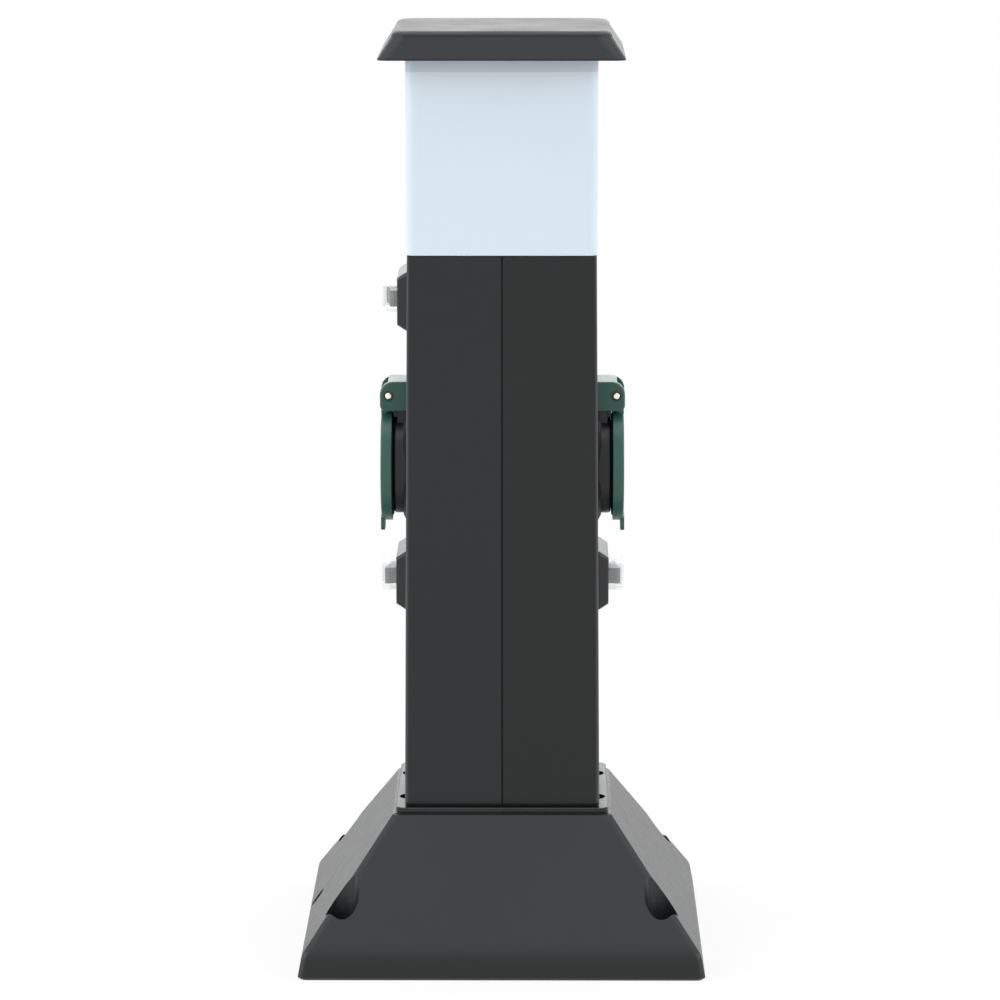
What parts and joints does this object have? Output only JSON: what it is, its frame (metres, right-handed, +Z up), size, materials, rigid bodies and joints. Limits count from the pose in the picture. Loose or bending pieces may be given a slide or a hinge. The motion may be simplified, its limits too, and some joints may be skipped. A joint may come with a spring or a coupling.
{
  "type": "garden socket pillar",
  "caption": "Square post on a pyramid foot with an opal lamp under a flat cap, earthed sockets under round sprung lids and rocker switches under clear covers.",
  "frame": {"origin": "centre of the foot, on the ground", "axes": "+Z up; +X towards the right-hand socket; the picture looks along +Y at the side with the seam"},
  "size_m": [0.1864, 0.1864, 0.4295],
  "materials": {
    "charcoal_plastic": "fine textured injection moulding, satin",
    "black_plastic": "smooth, low sheen",
    "grey_plastic": "smooth satin",
    "green_plastic": "satin moulding",
    "opal_plastic": "milky translucent, smooth",
    "clear_plastic": "clear flexible boot",
    "black_rubber": "matt",
    "zinc_steel": "zinc plated",
    "black_steel": "blackened",
    "brass": "turned",
    "cream_plastic": "moulded",
    "bulb_glass": "frosted white"
  },
  "bodies": {
    "root": {"foot": "charcoal_plastic", "column_left": "charcoal_plastic", "column_right": "charcoal_plastic", "column_screws": "zinc_steel", "foot_screws": "black_steel", "lamp_plate": "black_plastic", "plate_screws": "zinc_steel", "lamp_shade": "opal_plastic", "cap": "charcoal_plastic", "cap_seal": "black_rubber", "lamp_holder": "cream_plastic", "lamp_contact": "brass", "bulb_base": "zinc_steel", "bulb_glass": "bulb_glass", "socket_body_left": "black_plastic", "socket_body_right": "black_plastic", "socket_gasket_left": "black_rubber", "socket_gasket_right": "black_rubber", "flange_screws_left": "zinc_steel", "flange_screws_right": "zinc_steel", "earth_clips_left": "zinc_steel", "earth_clips_right": "zinc_steel", "contact_sleeves_left": "brass", "contact_sleeves_right": "brass", "hinge_block_left": "green_plastic", "hinge_block_right": "green_plastic", "hinge_screws_left": "zinc_steel", "hinge_screws_right": "zinc_steel", "hinge_pin_left": "brass", "hinge_pin_right": "brass", "lid_spring_left": "zinc_steel", "lid_spring_right": "zinc_steel", "bezel_lamp": "black_plastic", "bezel_left": "black_plastic", "bezel_right": "black_plastic", "clear_cover_lamp": "clear_plastic", "clear_cover_left": "clear_plastic", "clear_cover_right": "clear_plastic", "switch_body_lamp": "black_plastic", "switch_body_left": "black_plastic", "switch_body_right": "black_plastic", "terminal_block": "cream_plastic", "terminal_screws": "zinc_steel", "cable_grommet": "black_rubber", "cable_clamp": "black_plastic", "clamp_screws": "zinc_steel"},
    "left_lid": {"lid_left": "green_plastic", "lid_seal_left": "black_rubber"},
    "right_lid": {"lid_right": "green_plastic", "lid_seal_right": "black_rubber"},
    "lamp_rocker": {"rocker_lamp": "grey_plastic"},
    "left_rocker": {"rocker_left": "grey_plastic"},
    "right_rocker": {"rocker_right": "grey_plastic"}
  },
  "joints": [
    {"name": "left_lid_hinge", "type": "hinge", "parent": "root", "child": "left_lid", "pos_m": [-0.05285, 0, 0.2582], "axis": [0, 1, 0], "range_deg": [0, 110], "stiffness_Nm_per_rad": 0.01, "springref_deg": -57.3, "deforming": ["lid_spring_left"]},
    {"name": "right_lid_hinge", "type": "hinge", "parent": "root", "child": "right_lid", "pos_m": [0.05285, 0, 0.2582], "axis": [0, -1, 0], "range_deg": [0, 110], "stiffness_Nm_per_rad": 0.01, "springref_deg": -57.3, "deforming": ["lid_spring_right"]},
    {"name": "lamp_rocker_tilt", "type": "hinge", "parent": "root", "child": "lamp_rocker", "pos_m": [-0.0442, 0, 0.3034], "axis": [0, 0, -1], "range_deg": [0, 13.6]},
    {"name": "left_rocker_tilt", "type": "hinge", "parent": "root", "child": "left_rocker", "pos_m": [-0.0451, 0, 0.1727], "axis": [0, 0, 1], "range_deg": [0, 13.6]},
    {"name": "right_rocker_tilt", "type": "hinge", "parent": "root", "child": "right_rocker", "pos_m": [0.0451, 0, 0.1727], "axis": [0, 0, -1], "range_deg": [0, 13.6]}
  ]
}
